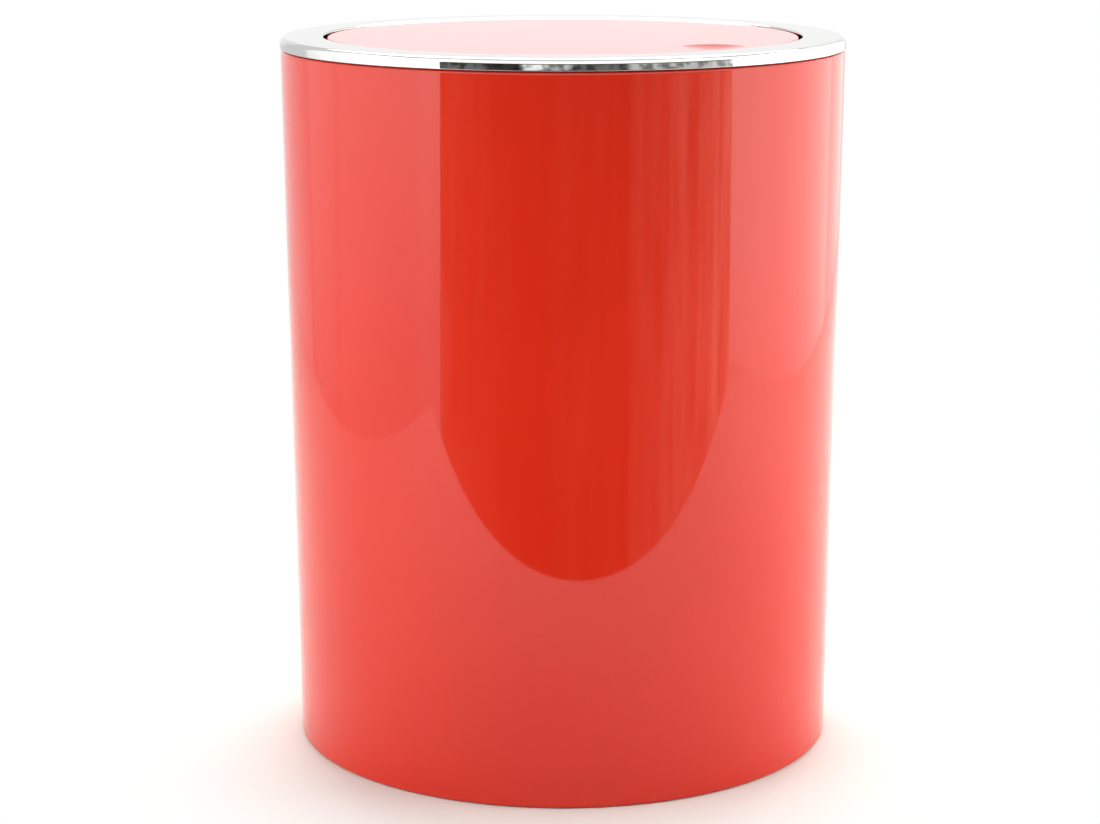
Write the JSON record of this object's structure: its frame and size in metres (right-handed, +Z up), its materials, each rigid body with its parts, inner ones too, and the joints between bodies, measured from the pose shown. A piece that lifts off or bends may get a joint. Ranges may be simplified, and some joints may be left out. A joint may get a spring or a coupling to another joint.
{
  "type": "swing-lid waste bin",
  "caption": "Round tapered waste bin with a lift-off plated ring frame and a flush weighted swing lid with a finger dimple, which pivots on side pins and returns level.",
  "frame": {"origin": "centre of the bin on the floor", "axes": "+Z up, -Y towards the finger dimple, X along the pivot pins"},
  "size_m": [0.1844, 0.1844, 0.234],
  "materials": {
    "red_gloss": "polished moulded plastic",
    "red_frame": "fine-textured moulded plastic",
    "plated_ring": "bright chrome plating on plastic",
    "weight_steel": "stamped bare steel",
    "pin_steel": "turned steel"
  },
  "bodies": {
    "bucket": {"bucket": "red_gloss"},
    "frame": {"lid_frame": "red_frame", "chrome_ring": "plated_ring"},
    "lid": {"swing_lid": "red_gloss", "counterweight": "weight_steel", "weight_cap": "red_frame", "pivot_pin_left": "pin_steel", "pivot_pin_right": "pin_steel"}
  },
  "joints": [
    {"name": "frame_lift", "type": "slide", "parent": "bucket", "child": "frame", "axis": [0, 0, 1], "range_m": [0, 0.08]},
    {"name": "lid_swing", "type": "hinge", "parent": "frame", "child": "lid", "pos_m": [0, 0, 0.22635], "axis": [1, 0, 0], "range_deg": [-80, 80]}
  ]
}
